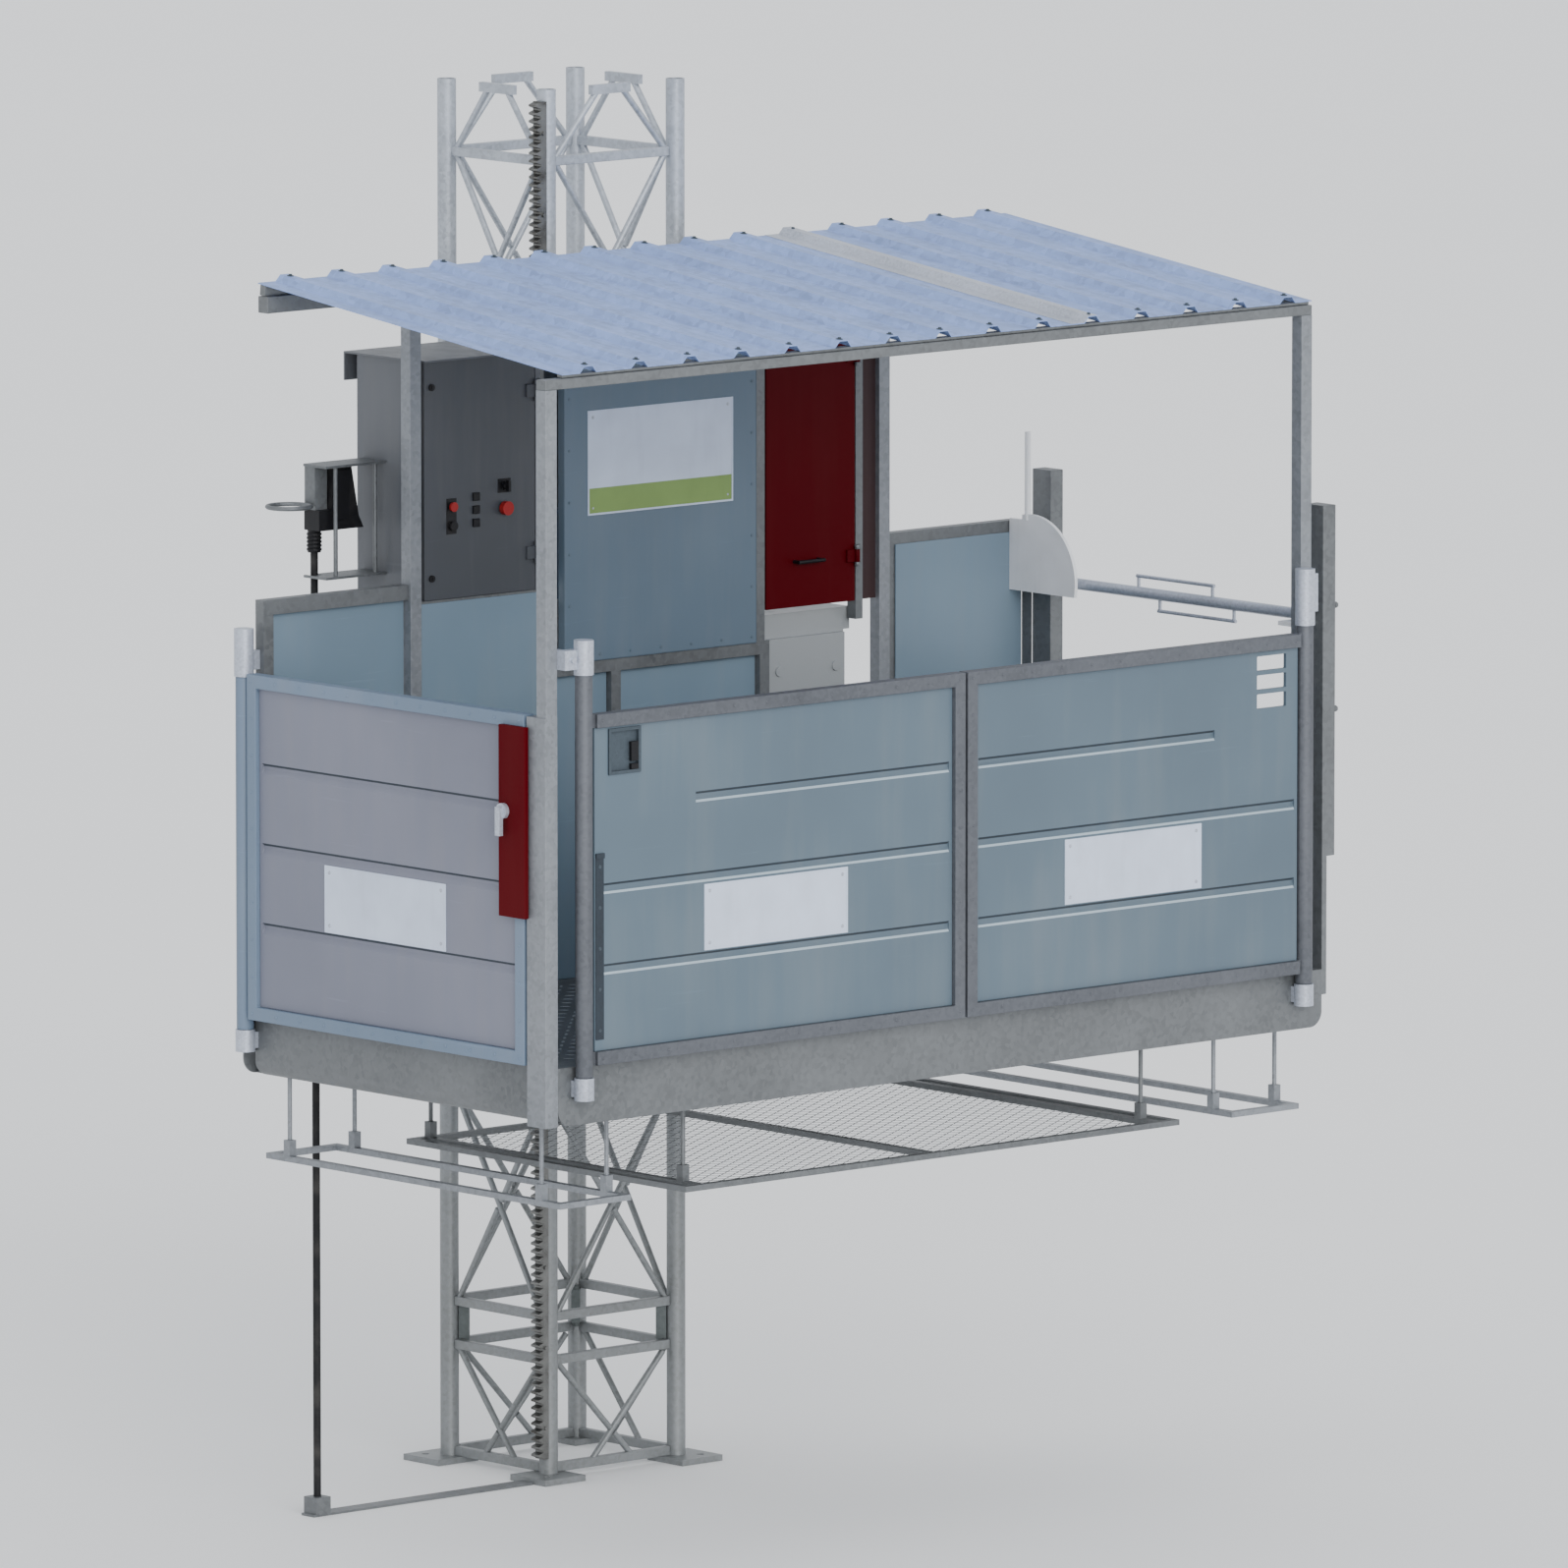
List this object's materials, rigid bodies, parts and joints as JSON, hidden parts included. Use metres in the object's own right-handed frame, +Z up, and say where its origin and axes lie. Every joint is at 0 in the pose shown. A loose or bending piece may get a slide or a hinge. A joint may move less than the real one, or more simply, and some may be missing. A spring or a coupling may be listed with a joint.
{
  "type": "material hoist",
  "caption": "Rack and pinion site hoist: roofed loading platform with swinging gates, folding ramp and drive, climbing a lattice mast.",
  "frame": {"origin": "centre of the mast foot, on the floor", "axes": "+X along the platform to its right end, +Y from the platform to the back of the mast, +Z up"},
  "size_m": [3.3943, 2.3379, 4.43],
  "materials": {
    "galvanised": "hot dip galvanised, matte spangle",
    "bright_zinc": "bright zinc plate",
    "gear_steel": "oiled dark steel",
    "roof_sheet": "coated sheet, light blue grey, satin",
    "floor_plate": "worn chequer plate",
    "blue_grey": "powder coat, satin",
    "leaf_frame": "powder coat, satin",
    "door_frame": "powder coat, satin",
    "lilac_grey": "powder coat, satin",
    "latch_plate": "dark paint, satin",
    "red_paint": "powder coat, satin",
    "cabinet_grey": "powder coat, satin",
    "casting_grey": "painted casting, light grey",
    "motor_paint": "machine enamel",
    "brake_paint": "machine enamel, yellow",
    "black_rubber": "cable sheath, matte",
    "black_plastic": "black, matte",
    "button_red": "red, gloss"
  },
  "bodies": {
    "mast": {"mast_feet": "galvanised", "mast_posts": "galvanised", "mast_rings": "galvanised", "mast_braces": "galvanised", "mast_rack": "gear_steel", "mast_couplers": "galvanised", "trailing_cable": "black_rubber", "cable_foot": "galvanised"},
    "platform": {"base_frame": "galvanised", "floor_plate": "floor_plate", "roof_posts": "galvanised", "roof_beams": "galvanised", "roof_sheet": "roof_sheet", "rear_rails": "galvanised", "rear_infill": "blue_grey", "machine_wall": "blue_grey", "door_filler": "latch_plate", "end_posts": "galvanised", "hinge_blocks": "bright_zinc", "carriage_frame": "galvanised", "roller_brackets": "galvanised", "gearboxes": "casting_grey", "motors": "motor_paint", "safety_brake": "brake_paint", "service_box": "casting_grey", "cabinet": "cabinet_grey", "cable_bracket": "galvanised", "cable_socket": "black_plastic", "boom_bracket": "bright_zinc"},
    "left_door": {"left_door_frame": "door_frame", "left_door_infill": "lilac_grey", "lock_cover": "red_paint"},
    "latch_handle": {"latch_handle": "bright_zinc"},
    "leaf_left": {"leaf_left_frame": "leaf_frame", "leaf_left_infill": "blue_grey", "leaf_left_latch": "latch_plate"},
    "leaf_right": {"leaf_right_frame": "leaf_frame", "leaf_right_infill": "blue_grey"},
    "pinion_lower": {"pinion_lower": "gear_steel"},
    "pinion_upper": {"pinion_upper": "gear_steel"},
    "pinion_safety": {"pinion_safety": "gear_steel"},
    "roller_a": {"roller_a": "gear_steel"},
    "roller_b": {"roller_b": "gear_steel"},
    "roller_c": {"roller_c": "gear_steel"},
    "roller_dd": {"roller_dd": "gear_steel"},
    "roller_e": {"roller_e": "gear_steel"},
    "roller_f": {"roller_f": "gear_steel"},
    "roller_g": {"roller_g": "gear_steel"},
    "roller_h": {"roller_h": "gear_steel"},
    "boom": {"boom": "galvanised"},
    "ramp": {"ramp": "galvanised"},
    "service_door": {"service_door": "red_paint"},
    "cabinet_door": {"cabinet_door": "cabinet_grey"},
    "stop_mushroom": {"stop_mushroom": "button_red"},
    "start_button": {"start_button": "button_red"},
    "lower_button": {"lower_button": "black_plastic"},
    "mode_switch": {"mode_switch": "black_plastic"},
    "contact_left": {"contact_left": "galvanised"},
    "contact_middle": {"contact_middle": "galvanised"},
    "contact_right": {"contact_right": "galvanised"}
  },
  "joints": [
    {"name": "platform_lift", "type": "slide", "parent": "mast", "child": "platform", "axis": [0, 0, 1], "range_m": [-1.1, 0.8], "deforming": ["trailing_cable"]},
    {"name": "pinion_lower_spin", "type": "hinge", "parent": "platform", "child": "pinion_lower", "pos_m": [-0.4042, -0.256, 2.226], "axis": [0, 1, 0], "continuous": true},
    {"name": "pinion_upper_spin", "type": "hinge", "parent": "platform", "child": "pinion_upper", "pos_m": [-0.4042, -0.256, 2.746], "axis": [0, 1, 0], "continuous": true},
    {"name": "pinion_safety_spin", "type": "hinge", "parent": "platform", "child": "pinion_safety", "pos_m": [-0.4042, -0.256, 1.986], "axis": [0, 1, 0], "continuous": true},
    {"name": "roller_a_spin", "type": "hinge", "parent": "platform", "child": "roller_a", "pos_m": [-0.22383, -0.28617, 1.766], "axis": [0.7071, 0.7071, 0], "continuous": true},
    {"name": "roller_b_spin", "type": "hinge", "parent": "platform", "child": "roller_b", "pos_m": [-0.31617, -0.19383, 1.766], "axis": [0.7071, 0.7071, 0], "continuous": true},
    {"name": "roller_c_spin", "type": "hinge", "parent": "platform", "child": "roller_c", "pos_m": [0.22383, -0.28617, 1.766], "axis": [-0.7071, 0.7071, 0], "continuous": true},
    {"name": "roller_dd_spin", "type": "hinge", "parent": "platform", "child": "roller_dd", "pos_m": [0.31617, -0.19383, 1.766], "axis": [-0.7071, 0.7071, 0], "continuous": true},
    {"name": "roller_e_spin", "type": "hinge", "parent": "platform", "child": "roller_e", "pos_m": [-0.22383, -0.28617, 3.526], "axis": [0.7071, 0.7071, 0], "continuous": true},
    {"name": "roller_f_spin", "type": "hinge", "parent": "platform", "child": "roller_f", "pos_m": [-0.31617, -0.19383, 3.526], "axis": [0.7071, 0.7071, 0], "continuous": true},
    {"name": "roller_g_spin", "type": "hinge", "parent": "platform", "child": "roller_g", "pos_m": [0.22383, -0.28617, 3.526], "axis": [-0.7071, 0.7071, 0], "continuous": true},
    {"name": "roller_h_spin", "type": "hinge", "parent": "platform", "child": "roller_h", "pos_m": [0.31617, -0.19383, 3.526], "axis": [-0.7071, 0.7071, 0], "continuous": true},
    {"name": "left_door_swing", "type": "hinge", "parent": "platform", "child": "left_door", "pos_m": [-1.732, -0.49, 2.191], "axis": [0, 0, -1], "range_deg": [0, 100]},
    {"name": "latch_turn", "type": "hinge", "parent": "left_door", "child": "latch_handle", "pos_m": [-1.7703, -1.762, 2.431], "axis": [1, 0, 0], "range_deg": [0, 60]},
    {"name": "leaf_left_swing", "type": "hinge", "parent": "platform", "child": "leaf_left", "pos_m": [-1.622, -1.962, 2.191], "axis": [0, 0, -1], "range_deg": [0, 110]},
    {"name": "leaf_right_swing", "type": "hinge", "parent": "platform", "child": "leaf_right", "pos_m": [1.392, -1.962, 2.191], "axis": [0, 0, 1], "range_deg": [0, 110]},
    {"name": "boom_lift", "type": "hinge", "parent": "platform", "child": "boom", "pos_m": [1.479, -0.65, 2.772], "axis": [-1, 0, 0], "range_deg": [0, 88]},
    {"name": "ramp_fold", "type": "hinge", "parent": "platform", "child": "ramp", "pos_m": [1.53, -1.23, 1.606], "axis": [0, 1, 0], "range_deg": [0, 95]},
    {"name": "service_door_swing", "type": "hinge", "parent": "platform", "child": "service_door", "pos_m": [0.776, -0.54, 3.166], "axis": [0, 0, 1], "range_deg": [0, 100]},
    {"name": "cabinet_door_swing", "type": "hinge", "parent": "platform", "child": "cabinet_door", "pos_m": [-0.571, -0.54, 3.266], "axis": [0, 0, 1], "range_deg": [0, 105]},
    {"name": "stop_mushroom_press", "type": "slide", "parent": "cabinet_door", "child": "stop_mushroom", "axis": [0, 1, 0], "range_m": [0, 0.006], "stiffness_N_per_m": 600},
    {"name": "start_button_press", "type": "slide", "parent": "cabinet_door", "child": "start_button", "axis": [0, 1, 0], "range_m": [0, 0.006], "stiffness_N_per_m": 600},
    {"name": "lower_button_press", "type": "slide", "parent": "cabinet_door", "child": "lower_button", "axis": [0, 1, 0], "range_m": [0, 0.006], "stiffness_N_per_m": 600},
    {"name": "mode_switch_turn", "type": "hinge", "parent": "cabinet_door", "child": "mode_switch", "pos_m": [-0.7, -0.542, 3.236], "axis": [0, 1, 0], "range_deg": [-45, 45]},
    {"name": "contact_left_rise", "type": "slide", "parent": "platform", "child": "contact_left", "axis": [0, 0, 1], "range_m": [0, 0.05]},
    {"name": "contact_middle_rise", "type": "slide", "parent": "platform", "child": "contact_middle", "axis": [0, 0, 1], "range_m": [0, 0.05]},
    {"name": "contact_right_rise", "type": "slide", "parent": "platform", "child": "contact_right", "axis": [0, 0, 1], "range_m": [0, 0.05]}
  ],
  "couplings": [
    {"joint": "pinion_lower_spin", "follows": "platform_lift", "rad_per_m": 13.889},
    {"joint": "pinion_upper_spin", "follows": "platform_lift", "rad_per_m": 13.889},
    {"joint": "pinion_safety_spin", "follows": "platform_lift", "rad_per_m": 13.889},
    {"joint": "roller_a_spin", "follows": "platform_lift", "rad_per_m": -28.571},
    {"joint": "roller_b_spin", "follows": "platform_lift", "rad_per_m": 28.571},
    {"joint": "roller_c_spin", "follows": "platform_lift", "rad_per_m": 28.571},
    {"joint": "roller_dd_spin", "follows": "platform_lift", "rad_per_m": -28.571},
    {"joint": "roller_e_spin", "follows": "platform_lift", "rad_per_m": -28.571},
    {"joint": "roller_f_spin", "follows": "platform_lift", "rad_per_m": 28.571},
    {"joint": "roller_g_spin", "follows": "platform_lift", "rad_per_m": 28.571},
    {"joint": "roller_h_spin", "follows": "platform_lift", "rad_per_m": -28.571}
  ]
}
